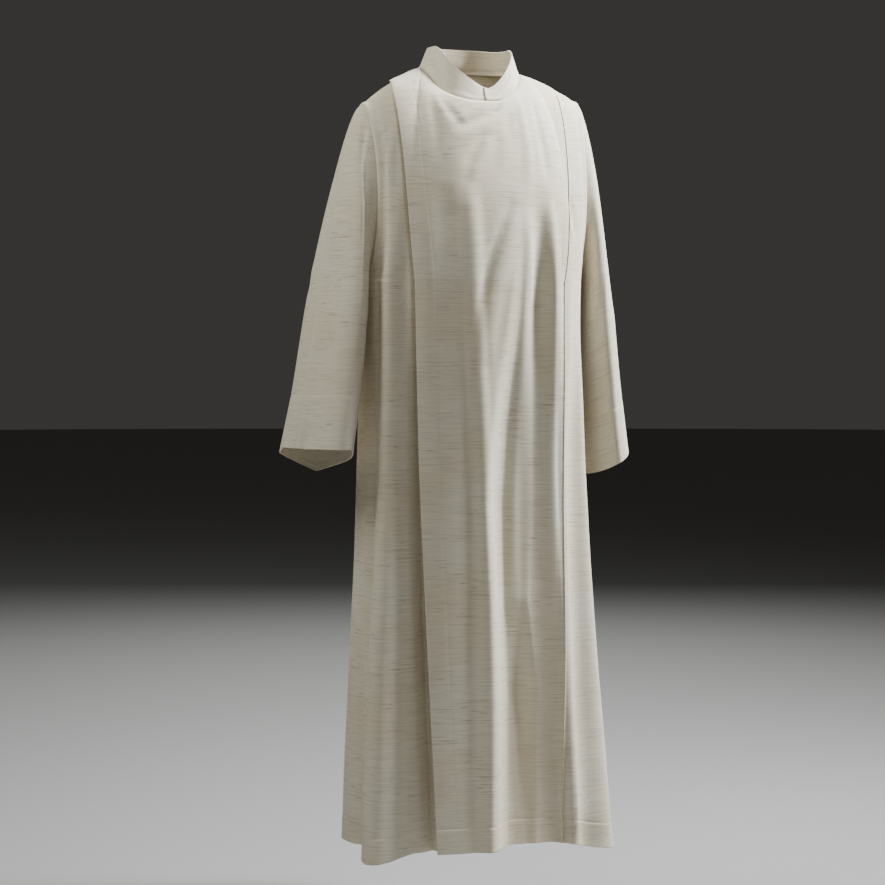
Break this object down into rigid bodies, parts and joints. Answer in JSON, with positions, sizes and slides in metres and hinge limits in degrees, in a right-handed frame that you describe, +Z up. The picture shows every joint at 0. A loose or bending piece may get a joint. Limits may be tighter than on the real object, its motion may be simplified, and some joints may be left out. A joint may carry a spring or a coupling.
{
  "type": "full-length wrap-front tunic (alb)",
  "caption": "Full-length tunic with stand-up collar, wrapped front with a free edge, knife pleat, and straight sleeves, worn and filled out.",
  "frame": {"origin": "centre of the neck at the level of the shoulder seams' neck ends, where the wearer's neck and shoulders hold the tunic", "axes": "+Z up along the body, +X to the wearer's left, -Y to the front"},
  "size_m": [0.6296, 0.2883, 1.4058],
  "materials": {
    "linen": "cream slubbed linen-look plain weave, matt with a faint sheen"
  },
  "bodies": {
    "root": {"back": "linen", "front_right": "linen", "front_left": "linen", "collar": "linen", "sleeve_right": "linen", "sleeve_left": "linen"}
  },
  "joints": []
}
